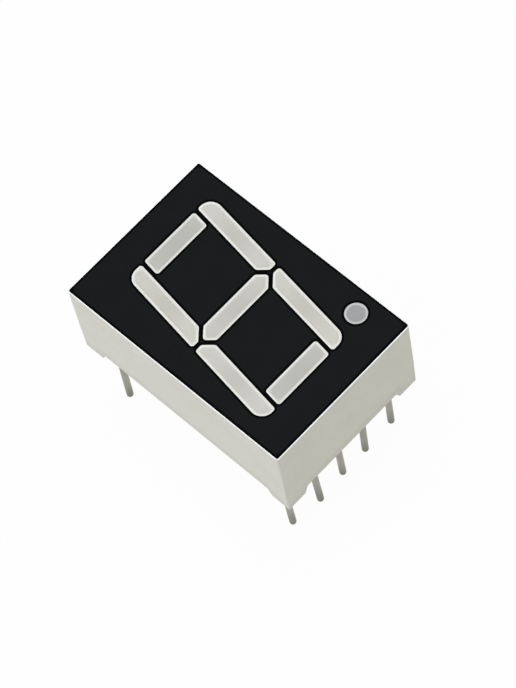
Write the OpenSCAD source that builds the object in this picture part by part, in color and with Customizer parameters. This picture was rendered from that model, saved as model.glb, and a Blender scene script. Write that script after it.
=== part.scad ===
// Single digit seven segment display with a decimal point.
// A moulded white reflector housing carries eight tapered light cavities filled with
// clouded epoxy. A circuit board with one light emitting die for each cavity closes
// them from behind, ten pins run through it in two rows, and epoxy seals the back.
// Origin: the middle of the pin grid on the seating plane, where the feet end.
// +Z points out of the face, +Y up the digit and +X to the digit's right.

/* [Housing] */
// Width of the housing at its face
body_w = 12.6; // [12.4:0.1:15.2]
// Length of the housing at its face, along the digit
body_l = 19; // [18.6:0.1:23]
// Depth of the housing from the soles of its feet to its face
body_h = 8; // [6.6:0.1:10]
// Slope of the outer walls, in degrees: the face is the widest section
wall_draft = 0.6; // [0:0.1:1]
// Thickness of the outer wall at its back edge
wall_t = 0.5; // [0.45:0.01:0.55]
// Radius of the four upright corners
corner_r = 0.2; // [0.15:0.05:0.3]
// Height of the corner feet
foot_h = 0.72; // [0.4:0.02:0.9]
// Length of a foot's sole along each wall
foot_l = 1.65; // [1:0.05:2]
// Length of the slope from a sole up to the wall's back edge
foot_ramp = 0.33; // [0.3:0.01:1]

/* [Digit] */
// Height of the digit
digit_h = 14; // [11.6:0.1:14.4]
// Width of the digit, measured along a level bar
digit_w = 8.04; // [7:0.02:8.2]
// Slant of the digit, in degrees
slant = 8; // [0:0.5:10]
// Thickness of the level bars
bar_t = 1.38; // [1.1:0.02:1.7]
// Width of the upright bars, measured level
post_t = 1.3; // [1:0.05:1.5]
// Gap between neighbouring segments
seg_gap = 0.32; // [0.25:0.01:0.45]
// Radius of the two outer corners that the digit turns round on
digit_r = 0.9; // [0.5:0.01:1.1]
// Diameter of the decimal point
dot_d = 1.62; // [1.2:0.02:1.8]
// Height of the digit's middle above the middle of the face
digit_rise = 0.09; // [0:0.01:0.2]

/* [Face] */
// Thickness of the printed black ink
ink_t = 0.04; // [0.03:0.01:0.06]
// White border left between the ink and the edge of the face
ink_inset = 0.1; // [0.05:0.01:0.12]
// White border left between the ink and each segment
rim_w = 0.09; // [0.05:0.01:0.1]

/* [Light cavities] */
// Depth of the straight part of a cavity behind the face
land_h = 0.5; // [0.3:0.1:0.8]
// Length of a cavity at the board
throat_l = 2; // [1.9:0.1:2.4]
// Width of a cavity at the board
throat_w = 0.8; // [0.7:0.05:0.9]
// Diameter of the decimal point's cavity at the board
dot_throat_d = 1.2; // [1.1:0.05:1.2]

/* [Board] */
// Thickness of the circuit board
board_t = 1; // [0.8:0.1:1.2]
// Clearance between the board's edge and the housing
board_gap = 0.08; // [0.05:0.01:0.1]
// Thickness of the copper on the board
copper_t = 0.035; // [0.018:0.001:0.05]
// Width of the copper tracks
track_w = 0.4; // [0.3:0.05:0.45]
// Side of a light emitting die
die_w = 0.3; // [0.25:0.01:0.32]
// Height of a light emitting die
die_h = 0.2; // [0.15:0.01:0.25]
// Diameter of the bond wires
wire_d = 0.03; // [0.025:0.005:0.05]

/* [Pins] */
// Diameter of the pins
pin_d = 0.5; // [0.4:0.05:0.6]
// Length of the pins below the soles of the feet
pin_len = 7.1; // [3:0.1:9]
// Distance between neighbouring pins
pin_pitch = 2.54; // [2:0.01:2.54]
// Distance between the two rows of pins
row_pitch = 15.24; // [15.24:0.01:15.6]

/* [Hidden] */
SEGMENTS = ["a", "b", "c", "d", "e", "f", "g"];
LIGHTS = concat(SEGMENTS, ["dot"]);
PINS = [1:10];

function light_name(s) = s == "dot" ? "decimal_point" : str("segment_", s);

housing_white = "#dedcd3";
ink_black = "#1c1c1f";
epoxy_grey = "#c9c8c0";

// Levels, from the seat upwards
potting_z = foot_h + 0.33;
board_back_z = potting_z + 0.85;
board_front_z = board_back_z + board_t;
floor_z = board_front_z + copper_t;
face_z = body_h - ink_t;
fill_z = face_z + ink_t / 2;
land_z = face_z - land_h;
core_top_z = face_z - 1;
pin_top_z = floor_z + 0.5;

// Room inside the wall, and the board that fills it
seat_shrink = body_h * tan(wall_draft);
room_w = body_w - 2 * (seat_shrink + wall_t);
room_l = body_l - 2 * (seat_shrink + wall_t);
room_r = 0.3;
board_w = room_w - 2 * board_gap;
board_l = room_l - 2 * board_gap;

// Radii on the digit and on the feet
tip_r = 0.23;
small_r = 0.2;
sharp_r = 0.05;
sole_r = 0.08;
notch_r = 0.18;

// Middle lines of the digit before it is slanted
post_u = (digit_w - post_t) / 2;
inner_u = digit_w / 2 - post_t;
top_v = digit_h / 2;
miter = seg_gap / sqrt(2);
dot_u = digit_w / 2 + 1.59;
dot_v = 0.67 - top_v;

// Copper lands, holes through the board and solder
pad_r = 0.16;
die_pad_r = 0.25;
hole_r = pin_d / 2 + 0.03;
ring_r = pin_d / 2 + 0.25;
solder_h = 0.4;
pin_head_r = pin_d / 2 - 0.03;

// Reach of the bond wires, and room round the hollows
wire_span = 0.6;
dot_wire_span = 0.5;
core_wall = 0.65;
core_r = 0.3;
pocket_r = ring_r + 0.05;
pocket_top_z = pin_top_z + 0.1;
trunk_x = 1.1;
slack = 0.5;
fine = 48;

// --- Outlines: rows of [x, y, corner radius], anticlockwise ---

function unit(v) = v / norm(v);

function flat(p) = [p[0], p[1]];

function wrapped(rows, i) = rows[(i + len(rows)) % len(rows)];

// Points of the arc that rounds corner b between its neighbours a and c
function arc_points(a, b, c) =
    let (
        back = unit(flat(a) - flat(b)),
        on = unit(flat(c) - flat(b)),
        half = acos(back * on) / 2,
        centre = flat(b) + unit(back + on) * b[2] / sin(half),
        from = flat(b) + back * b[2] / tan(half) - centre,
        to = flat(b) + on * b[2] / tan(half) - centre,
        start = atan2(from[1], from[0]),
        turn = (atan2(to[1], to[0]) - start + 540) % 360 - 180,
        steps = b[2] > 0.6 ? 12 : 6
    )
    [for (k = [0:steps]) centre + b[2] * [cos(start + turn * k / steps), sin(start + turn * k / steps)]];

function rounded(rows) = [
    for (i = [0:len(rows) - 1])
        each rows[i][2] > 0
            ? arc_points(wrapped(rows, i - 1), rows[i], wrapped(rows, i + 1))
            : [flat(rows[i])]
];

// The same outline with every side moved outwards by d
function grown(rows, d) = [
    for (i = [0:len(rows) - 1])
        let (
            here = flat(rows[i]),
            e1 = unit(here - flat(wrapped(rows, i - 1))),
            e2 = unit(flat(wrapped(rows, i + 1)) - here),
            push = [e1[1] + e2[1], -e1[0] - e2[0]] * d / (1 + e1 * e2)
        )
        [here[0] + push[0], here[1] + push[1], max(rows[i][2] + d, sharp_r)]
];

function rectangle(w, l, r) = [[w, -l, r], [w, l, r], [-w, l, r], [-w, -l, r]] * [[0.5, 0, 0], [0, 0.5, 0], [0, 0, 1]];

// --- The digit: [u, v] before the slant, [x, y] on the face ---

function slanted(p) = [p[0] + p[1] * tan(slant), p[1] + digit_rise];

function turned(rows) = [for (p = rows) [-p[0], -p[1], p[2]]];

function mirrored(rows) = [for (i = [len(rows) - 1:-1:0]) [-rows[i][0], rows[i][1], rows[i][2]]];

// Level bar at the top of the digit
top_bar = let (u = inner_u - seg_gap) [
    [-u, top_v - bar_t, small_r],
    [u, top_v - bar_t, small_r],
    [u, top_v, small_r],
    [-u, top_v, small_r]
];

// Upright bar at the top left
left_post = [
    [-digit_w / 2, seg_gap / 2, small_r],
    [seg_gap / 2 - post_u - miter, seg_gap / 2, small_r],
    [-inner_u, post_t / 2 + miter, tip_r],
    [-inner_u, top_v, small_r],
    [-digit_w / 2, top_v, digit_r]
];

// Level bar across the middle
middle_bar = let (tip = post_u - miter, shoulder = tip - bar_t / 2) [
    [-tip, 0, tip_r],
    [-shoulder, -bar_t / 2, tip_r],
    [shoulder, -bar_t / 2, tip_r],
    [tip, 0, tip_r],
    [shoulder, bar_t / 2, tip_r],
    [-shoulder, bar_t / 2, tip_r]
];

function segment_rows(s) =
    let (
        rows = s == "a" ? top_bar
            : s == "b" ? mirrored(left_post)
            : s == "c" ? turned(left_post)
            : s == "d" ? turned(top_bar)
            : s == "e" ? turned(mirrored(left_post))
            : s == "f" ? left_post
            : middle_bar
    )
    [for (p = rows) [slanted(p)[0], slanted(p)[1], p[2]]];

// Window in the ink round segment s, and the smaller opening of its cavity
function window(s) = rounded(segment_rows(s));

function opening(s) = rounded(grown(segment_rows(s), -rim_w));

is_post = function (s) s == "b" || s == "c" || s == "e" || s == "f";

// Middle of a light, the way its length runs, and where its bond wire lands
function light_mid(s) =
    let (bar_v = top_v - bar_t / 2, post_v = (top_v + seg_gap / 2) / 2)
    slanted(
        s == "a" ? [0, bar_v]
        : s == "b" ? [post_u, post_v]
        : s == "c" ? [post_u, -post_v]
        : s == "d" ? [0, -bar_v]
        : s == "e" ? [-post_u, -post_v]
        : s == "f" ? [-post_u, post_v]
        : s == "g" ? [0, 0]
        : [dot_u, dot_v]
    );

function wire_angle(s) =
    s == "a" ? 0
    : s == "b" || s == "f" ? 90 - slant
    : s == "c" || s == "e" ? -90 - slant
    : s == "dot" ? -75
    : 180;

function wire_end(s) =
    let (span = s == "dot" ? dot_wire_span : wire_span)
    light_mid(s) + span * [cos(wire_angle(s)), sin(wire_angle(s))];

// Pins are counted along the lower row from the left and back along the upper row
function pin_place(n) =
    n <= 5
        ? [(n - 3) * pin_pitch, -row_pitch / 2]
        : [(8 - n) * pin_pitch, row_pitch / 2];

// --- Shared solids ---

module prism(points, z0, z1) {
    translate([0, 0, z0]) linear_extrude(z1 - z0) polygon(points);
}

// Housing profile seen along one wall: sloped sides, and a back edge raised between the feet
function wall_profile(size) =
    let (
        face = size / 2,
        back = face - seat_shrink,
        toe = face - foot_l,
        heel = toe - foot_ramp
    )
    rounded([
        [-back, 0, 0],
        [-toe, 0, sole_r],
        [-heel, foot_h, notch_r],
        [heel, foot_h, notch_r],
        [toe, 0, sole_r],
        [back, 0, 0],
        [face, face_z, 0],
        [-face, face_z, 0]
    ]);

// A light cavity: straight behind the face, then narrowing to its throat at the board
module light_cavity(s, top_z) {
    if (s == "dot") {
        translate([light_mid(s)[0], light_mid(s)[1], 0]) {
            translate([0, 0, land_z]) cylinder(d = dot_d - 2 * rim_w, h = top_z - land_z, $fn = fine);
            translate([0, 0, floor_z])
                cylinder(d1 = dot_throat_d, d2 = dot_d - 2 * rim_w, h = land_z - floor_z, $fn = fine);
        }
    } else {
        prism(opening(s), land_z, top_z);
        intersection() {
            prism(opening(s), floor_z, land_z);
            cavity_taper(s);
        }
    }
}

// Two crossed wedges that slope the sides and the ends of a cavity
module cavity_taper(s) {
    run = is_post(s) ? 90 - slant : 0;
    wide = (is_post(s) ? post_t * cos(slant) : bar_t) / 2 - rim_w;
    long = is_post(s) ? (top_v - seg_gap / 2) / (2 * cos(slant)) + post_t / 2 * sin(slant) - rim_w
        : s == "g" ? post_u - miter - rim_w
        : inner_u - seg_gap + bar_t / 2 * tan(slant) - rim_w;
    translate([light_mid(s)[0], light_mid(s)[1], 0]) rotate([0, 0, run]) {
        intersection() {
            wedge(long, throat_l / 2, 2 * wide + slack);
            rotate([0, 0, 90]) wedge(wide, throat_w / 2, 2 * long + slack);
        }
    }
}

// Wedge between the board and the land: half widths at its top and at its throat
module wedge(top_half, throat_half, depth) {
    rotate([90, 0, 0]) linear_extrude(depth, center = true) polygon([
        [-throat_half, floor_z],
        [throat_half, floor_z],
        [top_half, land_z],
        [-top_half, land_z]
    ]);
}

module die_solid(s) {
    translate([light_mid(s)[0], light_mid(s)[1], floor_z + die_h / 2])
        rotate([0, 0, wire_angle(s)]) cube([die_w, die_w, die_h], center = true);
}

// Bond wire: an arch off the top of the die, and a straight leg down to its pad
module wire_solid(s) {
    span = norm(wire_end(s) - light_mid(s));
    translate([light_mid(s)[0], light_mid(s)[1], floor_z + die_h]) rotate([0, 0, wire_angle(s)]) {
        translate([span / 2, 0, 0]) rotate([90, 0, 0])
            rotate_extrude(angle = 180, $fn = fine) translate([span / 2, 0]) circle(d = wire_d, $fn = 16);
        translate([span, 0, -die_h]) cylinder(d = wire_d, h = die_h, $fn = 16);
    }
}

module at_pin(n, z) {
    translate([pin_place(n)[0], pin_place(n)[1], z]) children();
}

// A round cut at each of the ten pins
module pin_cuts(r, z0, z1) {
    for (n = PINS) at_pin(n, z0) cylinder(r = r, h = z1 - z0, $fn = fine);
}

// --- Housing and face ---

module reflector_housing() {
    color(housing_white) difference() {
        intersection() {
            rotate([90, 0, 0]) linear_extrude(body_l + slack, center = true) polygon(wall_profile(body_w));
            rotate([90, 0, 90]) linear_extrude(body_w + slack, center = true) polygon(wall_profile(body_l));
            prism(rounded(rectangle(body_w, body_l, corner_r)), -slack, body_h);
        }
        prism(rounded(rectangle(room_w, room_l, room_r)), -slack, floor_z);
        for (s = LIGHTS) light_cavity(s, face_z + slack);
        translate([0, digit_rise, 0]) for (turn = [0, 180]) rotate([0, 0, turn]) {
            loop_core();
            edge_core();
        }
        pin_cuts(pocket_r, floor_z - slack, pocket_top_z);
    }
}

// Hollow behind the face inside a loop of the digit, open to the board
module loop_core() {
    u = inner_u - core_wall;
    rows = [
        [-u, bar_t / 2 + core_wall],
        [u, bar_t / 2 + core_wall],
        [u, top_v - bar_t - core_wall],
        [-u, top_v - bar_t - core_wall]
    ];
    prism(rounded([for (p = rows) [p[0] + p[1] * tan(slant), p[1], core_r]]), floor_z - slack, core_top_z);
}

// Hollow behind the face between an upright bar and the outer wall
module edge_core() {
    u = digit_w / 2 + core_wall;
    low = 0.8;
    high = top_v - 2;
    prism(
        rounded([
            [-room_w / 2, low, core_r],
            [low * tan(slant) - u, low, core_r],
            [high * tan(slant) - u, high, core_r],
            [-room_w / 2, high, core_r]
        ]),
        floor_z - slack, core_top_z
    );
}

module face_ink() {
    color(ink_black) translate([0, 0, face_z]) linear_extrude(ink_t) difference() {
        polygon(rounded(rectangle(body_w - 2 * ink_inset, body_l - 2 * ink_inset, corner_r - ink_inset + 0.02)));
        for (s = SEGMENTS) polygon(window(s));
        translate(light_mid("dot")) circle(d = dot_d, $fn = fine);
    }
}

// Clouded epoxy that fills a light cavity round its die and bond wire
module segment(s) {
    color(epoxy_grey) difference() {
        light_cavity(s, fill_z);
        die_solid(s);
        wire_solid(s);
    }
}

// --- Board ---

module circuit_board() {
    color("#b9a36a") difference() {
        prism(rounded(rectangle(board_w, board_l, room_r - board_gap)), board_back_z, board_front_z);
        pin_cuts(hole_r, board_back_z - slack, board_front_z + slack);
    }
}

// Flat strip of copper that follows a path, with mitred bends
function strip(path) =
    let (
        last = len(path) - 1,
        side = [
            for (i = [0:last])
                let (
                    e1 = unit(path[max(i, 1)] - path[max(i, 1) - 1]),
                    e2 = unit(path[min(i, last - 1) + 1] - path[min(i, last - 1)])
                )
                [-e1[1] - e2[1], e1[0] + e2[0]] * track_w / 2 / (1 + e1 * e2)
        ]
    )
    concat(
        [for (i = [0:last]) path[i] - side[i]],
        [for (i = [last:-1:0]) path[i] + side[i]]
    );

// One net: strips that join its lands round the pins, under the dies and at the bond wires
module net(paths, pins, pads, die_pads) {
    translate([0, 0, board_front_z]) linear_extrude(copper_t) difference() {
        union() {
            for (path = paths) polygon(strip(path));
            for (s = pads) translate(wire_end(s)) circle(r = pad_r, $fn = fine);
            for (s = die_pads) translate(light_mid(s)) circle(r = die_pad_r, $fn = fine);
            for (n = pins) translate(pin_place(n)) circle(r = ring_r, $fn = fine);
        }
        for (n = pins) translate(pin_place(n)) circle(r = hole_r, $fn = fine);
    }
}

module board_copper() {
    color("#c77b45") {
        net([[pin_place(7), wire_end("a")]], [7], ["a"], []);
        net([[pin_place(6), wire_end("b")]], [6], ["b"], []);
        net([[pin_place(4), wire_end("c")]], [4], ["c"], []);
        net([[pin_place(2), wire_end("d")]], [2], ["d"], []);
        net([[pin_place(1), wire_end("e")]], [1], ["e"], []);
        net([[pin_place(9), wire_end("f")]], [9], ["f"], []);
        net([g_route], [10], ["g"], []);
        net([[pin_place(5), wire_end("dot")]], [5], ["dot"], []);
        net(common_routes, [3, 8], [], LIGHTS);
    }
}

// The middle bar's strip runs down the left edge and in between the two left posts
g_route = [
    pin_place(10),
    [pin_place(10)[0] + 0.2, top_v - 2],
    [pin_place(10)[0] + 0.2, light_mid("g")[1]],
    wire_end("g")
];

// The common strip runs down the middle, with branches to every die
common_routes = [
    [
        pin_place(8),
        light_mid("a"),
        [trunk_x, top_v - 2],
        [trunk_x, 2.5 - top_v],
        light_mid("d"),
        pin_place(3)
    ],
    [light_mid("f"), light_mid("b")],
    [light_mid("g"), [trunk_x, light_mid("g")[1]]],
    [light_mid("e"), light_mid("c")],
    [light_mid("c"), [light_mid("dot")[0] - 0.3, light_mid("c")[1] - 1], light_mid("dot")]
];

module die(s) {
    color("#8c6f86") die_solid(s);
}

module bond_wire(s) {
    color("gold") wire_solid(s);
}

// --- Pins ---

// Round pin with a domed tip: its shank tapers from the seat up and wedges in the board
module pin(n) {
    r = pin_d / 2;
    color("#a9a99f") at_pin(n, 0) rotate_extrude($fn = fine) polygon(concat(
        [[0, pin_top_z], [0, -pin_len]],
        [for (k = [1:6]) [r * sin(15 * k), r - pin_len - r * cos(15 * k)]],
        [[r, 0], [pin_head_r, pin_top_z]]
    ));
}

// Ring of solder that joins a pin to its land on the front of the board
module solder(n) {
    color("#8f9193") difference() {
        at_pin(n, floor_z) cylinder(r1 = ring_r - 0.02, r2 = pin_d / 2 + 0.04, h = solder_h, $fn = fine);
        pin(n);
    }
}

// Epoxy that seals the back, and runs up round the board's edge to the reflector
module back_potting() {
    color("#c4bfae") difference() {
        prism(rounded(rectangle(room_w, room_l, room_r)), potting_z, floor_z);
        prism(rounded(rectangle(board_w, board_l, room_r - board_gap)), board_back_z, floor_z + slack);
        for (n = PINS) pin(n);
    }
}

reflector_housing();
face_ink();
circuit_board();
board_copper();
back_potting();
for (s = LIGHTS) segment(s);
for (s = LIGHTS) die(s);
for (s = LIGHTS) bond_wire(s);
for (n = PINS) pin(n);
for (n = PINS) solder(n);
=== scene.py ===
import math
import random

import bmesh
import bpy
from mathutils import Matrix, Vector, noise
from mathutils.geometry import delaunay_2d_cdt
from mathutils.kdtree import KDTree


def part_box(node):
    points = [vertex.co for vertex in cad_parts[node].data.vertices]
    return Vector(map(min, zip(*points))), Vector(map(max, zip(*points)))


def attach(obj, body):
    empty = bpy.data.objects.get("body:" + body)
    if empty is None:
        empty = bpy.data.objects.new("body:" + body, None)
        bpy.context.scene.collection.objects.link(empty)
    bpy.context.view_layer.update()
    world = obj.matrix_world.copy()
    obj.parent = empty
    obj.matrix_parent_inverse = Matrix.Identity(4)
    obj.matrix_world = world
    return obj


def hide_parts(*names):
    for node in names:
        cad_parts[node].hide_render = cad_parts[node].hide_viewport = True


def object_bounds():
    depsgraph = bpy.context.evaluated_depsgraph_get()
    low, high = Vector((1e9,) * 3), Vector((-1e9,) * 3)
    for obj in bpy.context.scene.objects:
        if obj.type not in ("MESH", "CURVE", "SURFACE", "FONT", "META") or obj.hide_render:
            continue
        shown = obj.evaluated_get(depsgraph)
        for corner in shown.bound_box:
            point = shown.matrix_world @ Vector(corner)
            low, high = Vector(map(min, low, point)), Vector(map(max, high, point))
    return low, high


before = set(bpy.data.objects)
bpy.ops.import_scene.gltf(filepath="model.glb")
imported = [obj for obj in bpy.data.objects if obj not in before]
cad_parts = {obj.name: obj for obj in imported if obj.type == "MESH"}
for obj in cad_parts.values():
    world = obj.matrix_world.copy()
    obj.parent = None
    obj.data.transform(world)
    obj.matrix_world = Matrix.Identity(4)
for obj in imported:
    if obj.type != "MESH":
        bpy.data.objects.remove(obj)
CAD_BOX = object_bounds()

bl_info = {
    "name": "Seven segment display",
    "version": (1, 0, 0),
    "blender": (4, 5, 0),
    "location": "View3D > Sidebar > Display",
    "description": "Dresses a single digit display: housing, printed face, lights, pins and sealed back",
    "category": "Object",
}

MM = 0.001
MICRON = 1e-6
BODY = "root"
LIGHTS = ["segment_" + letter for letter in "abcdefg"] + ["decimal_point"]
DIES = ["die_" + letter for letter in "abcdefg"] + ["die_dot"]
WIRES = ["bond_wire_" + letter for letter in "abcdefg"] + ["bond_wire_dot"]
PINS = ["pin_%d" % n for n in range(1, 11)]
SOLDERS = ["solder_%d" % n for n in range(1, 11)]

# How much of the light each cavity keeps, in the order of LIGHTS: the dot's the most, then the two end bars'.
LIGHT_SHADES = (0.35, 0.0, 0.0, 0.37, 0.03, 0.0, 0.12, 1.0)

# How far each pin's tip leans from straight down, in millimetres right and up the digit.
PIN_LEANS = (
    (0.20, 0.05), (0.12, -0.24), (0.03, -0.05), (-0.24, -0.05), (-0.05, 0.04),
    (-0.09, 0.10), (0.07, 0.03), (-0.04, -0.11), (0.12, 0.06), (-0.11, 0.04),
)

# How dull the tin is on each pin, from 0, bright, to 1.
PIN_TARNISH = (0.5, 0.8, 0.1, 0.8, 0.1, 0.4, 0.6, 0.2, 0.5, 0.4)


def linear(code):
    """Turns an sRGB hex colour into the linear RGBA that Blender's sockets hold."""
    parts = [int(code[i : i + 2], 16) / 255 for i in (1, 3, 5)]
    return tuple(c / 12.92 if c <= 0.04045 else ((c + 0.055) / 1.055) ** 2.4 for c in parts) + (1.0,)


# --- Sizes and colours that a user may change ---


def size(name, text, millimetres):
    return bpy.props.FloatProperty(
        name=name, description=text, default=millimetres * MM, min=0, precision=6, subtype="DISTANCE",
        unit="LENGTH",
    )


def colour(name, text, code):
    return bpy.props.FloatVectorProperty(
        name=name, description=text, default=linear(code), size=4, min=0, max=1, subtype="COLOR"
    )


def portion(name, text, amount):
    return bpy.props.FloatProperty(name=name, description=text, default=amount, min=0, max=1)


def wattage(name, text, watts):
    return bpy.props.FloatProperty(name=name, description=text, default=watts, min=0, unit="POWER")


def whole_number(name, text, number, low=0, high=10000):
    return bpy.props.IntProperty(name=name, description=text, default=number, min=low, max=high)


class HousingSettings(bpy.types.PropertyGroup):
    plastic: colour("Plastic", "Colour of the moulded white plastic", "#EAE8DE")
    flow: colour("Flow marks", "Faint warmer tone where the melt flowed", "#E6E3D7")
    film: colour("Filmed rim", "Colour of the rim that a film of resin covers, round the dot", "#BCBBB8")
    thin_film: portion("Thin film", "How much of that film lies on the rims of the other windows", 0.32)
    # Painted highlight: this lighter colour runs along the walls' top edge.
    edge_and_painted_highlight: colour("Painted edge highlight", "Colour along the top of the walls, where light passes through the edge", "#F8F8F6")
    # Painted shade: this duller colour darkens the walls towards their lower edges.
    scuff_and_foot_shade: colour("Painted foot shade", "Duller tone along the lower edges of the walls", "#DFDDD3")
    foot_shade_reach: size("Foot shade reach", "How far up the walls the duller tone reaches", 1.0)
    edge: size("Edge radius", "Radius on the mould's outer edges", 0.1)
    grain: size("Mould grain", "Grain left by the spark eroded mould", 0.14)


class FaceSettings(bpy.types.PropertyGroup):
    ink: colour("Ink", "Colour of the printed face", "#151618")
    thin_ink: colour("Thin ink", "Colour where the ink lies thinner", "#171818")
    heavy_ink: colour("Heavy ink", "Colour where the ink is thickest, along its edges", "#010101")
    band: size("Edge band", "Width of the thicker ink along each edge", 0.2)
    spread_across: size("Spread across", "How far the ink ran past its stencil at the two long sides", 0.062)
    spread_along: size("Spread along", "How far the ink ran past its stencil at the two short sides", 0.032)
    register: size("Off register", "How far the border is printed off to the right", 0.024)
    creep: size("Creep", "How far the ink crept in round the dot", 0.028)


class LightSettings(bpy.types.PropertyGroup):
    resin: colour("Resin", "Colour of the clouded epoxy", "#B8B4AB")
    # Painted shade: the epoxy is darkened over the die.
    painted_die_shade: colour("Painted die shade", "Colour of the epoxy over the die, where the cavity narrows", "#B1ADA3")
    shade: colour("Shade", "Colour of the epoxy in a small cavity, which sends less light back", "#8B8A8A")
    # Painted glow: the epoxy is lightened near its cavity's white wall.
    glow: colour("Glow", "Colour of the epoxy where the white wall of its cavity shows through", "#DAD7CF")
    glow_reach: size("Glow reach", "How far in from a window's border its wall shows through", 0.105)
    dip: size("Dip", "How far the cured resin sinks in the middle of a light", 0.015)


class PinSettings(bpy.types.PropertyGroup):
    tin: colour("Tin", "Colour of the dipped tin", "#A7A597")
    dull_tin: colour("Dull tin", "Colour of the tin where it has tarnished", "#9A998D")
    # The pins grow darker towards their tips.
    darker_tip: colour("Darker tip", "Colour of the duller metal at the cut tip", "#706F66")
    rings: whole_number("Rings", "Rings of faces along a pin", 56, 12, 200)
    sides: whole_number("Sides", "Faces round a pin", 28, 8, 96)
    seed: whole_number("Seed", "Picks how each pin is turned about its own axis", 7)


class BackSettings(bpy.types.PropertyGroup):
    resin: colour("Resin", "Colour of the epoxy that seals the back", "#CFC9B6")
    air: colour("Air", "Colour of the flecks of trapped air", "#E4E0D2")
    climb: size("Climb", "How far the resin creeps along the walls and the pins", 0.16)
    reach: size("Reach", "How far out from a wall or pin the resin is lifted", 0.3)
    bubbles: whole_number("Bubbles", "Small craters left by bubbles", 9, 0, 40)
    seed: whole_number("Seed", "Picks where the bubbles lie", 4)


class InsideSettings(bpy.types.PropertyGroup):
    board: colour("Board", "Colour of the glass epoxy board", "#B9A86B")
    copper: colour("Copper", "Colour of the etched copper", "#C98D63")
    chip: colour("Chip", "Colour of the light emitting chips", "#8C6F86")
    gold: colour("Gold", "Colour of the drawn gold wire", "#E2B45A")
    solder: colour("Solder", "Colour of the solder", "#A7A8A6")


class StageSettings(bpy.types.PropertyGroup):
    floor: colour("Floor", "Colour of the floor", "#CDCDCB")
    scuff_and_foot_shade: colour("Scuffs", "Colour of the floor where its paint is rubbed", "#D1D1CF")
    ambient: bpy.props.FloatProperty(
        name="Ambient", description="Strength of the even light from all round", default=0.28, min=0
    )
    key: wattage("Key", "Power of the large lamp above the left", 0.98)
    fill: wattage("Fill", "Power of the warmer lamp in front", 0.12)
    top: wattage("Top", "Power of the cooler lamp overhead", 1.91)


# --- Materials ---


def add_node(tree, kind, sockets=None, **settings):
    """Adds a node with its settings. A socket, by name or number, gets a value or another node's output."""
    node = tree.nodes.new(kind)
    for name, value in settings.items():
        setattr(node, name, value)
    for key, value in (sockets or {}).items():
        if isinstance(value, bpy.types.NodeSocket):
            tree.links.new(value, node.inputs[key])
        else:
            node.inputs[key].default_value = value
    return node


def new_material(name):
    """A material with an empty tree."""
    material = bpy.data.materials.new(name)
    material.use_nodes = True
    material.node_tree.nodes.clear()
    return material, material.node_tree


def surface(tree, tone, marks, sheen, microns, strength, sockets):
    """Ends a tree with its shader and output. The marks, from 0 to 1, take the roughness from one value of sheen
    to the other and stand out as bumps that many microns high. The shader's other sockets are given."""
    dull = add_node(tree, "ShaderNodeMapRange", {"Value": marks, "To Min": sheen[0], "To Max": sheen[1]})
    bumps = {"Height": marks, "Distance": microns * MICRON, "Strength": strength}
    relief = add_node(tree, "ShaderNodeBump", bumps)
    shown = {"Base Color": tone, "Roughness": dull.outputs[0], "Normal": relief.outputs[0]}
    shader = add_node(tree, "ShaderNodeBsdfPrincipled", {**shown, **sockets})
    add_node(tree, "ShaderNodeOutputMaterial", {"Surface": shader.outputs["BSDF"]})


def layered(tree, tone, *layers):
    """Lays more tones over a first one, each by as much as the attribute named with it says."""
    for name, over in layers:
        amount = add_node(tree, "ShaderNodeAttribute", attribute_name=name).outputs["Fac"]
        tone = add_node(tree, "ShaderNodeMix", {0: amount, 6: tone, 7: over}, data_type="RGBA").outputs[2]
    return tone


def mottle(tree, millimetres, stretch=(1, 1, 1), detail=2.0):
    """Noise on Object coordinates with spots that many millimetres wide, running from 0 to 1."""
    place = add_node(tree, "ShaderNodeTexCoord")
    spaced = add_node(tree, "ShaderNodeMapping", {"Vector": place.outputs["Object"], "Scale": stretch})
    scale = 1 / (millimetres * MM)
    sockets = {"Vector": spaced.outputs[0], "Scale": scale, "Detail": detail, "Roughness": 0.55}
    spots = add_node(tree, "ShaderNodeTexNoise", sockets).outputs["Fac"]
    # Nearly all of the noise lies between these two values.
    spread = {"Value": spots, "From Min": 0.3, "From Max": 0.7}
    return add_node(tree, "ShaderNodeMapRange", spread).outputs["Result"]


def toned(base, *shares):
    """The colour with its red, green and blue each times a share, or all times the one share."""
    return tuple(min(1.0, c * s) for c, s in zip(base[:3], shares * 3)) + (1.0,)


def moulded_polycarbonate(look):
    # White filled polycarbonate, injection moulded in a spark eroded tool: an even, opaque white with a fine
    # dull grain, and a faint warmer tone in broad streaks where the melt flowed from the gate.
    material, tree = new_material("white_polycarbonate_moulded")
    flow = mottle(tree, 3.2, stretch=(1, 0.7, 1.4), detail=3.0)
    clean = add_node(tree, "ShaderNodeMix", {0: flow, 6: look.plastic, 7: look.flow}, data_type="RGBA")
    # Over the plastic go a painted shade towards the walls' feet, a painted highlight along their top edge, and
    # the resin film on the rims.
    tone = layered(tree, clean.outputs[2], ("painted_foot_shade", look.scuff_and_foot_shade), ("edge_and_painted_highlight", look.edge_and_painted_highlight), ("filmed", look.film))
    # The real grain is about 0.03 mm, drawn coarser so that it still shows.
    grain = mottle(tree, look.grain / MM)
    surface(tree, tone, grain, (0.42, 0.54), 1.6, 0.5, {"IOR": 1.58, "Specular IOR Level": 0.4})
    return material


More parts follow.
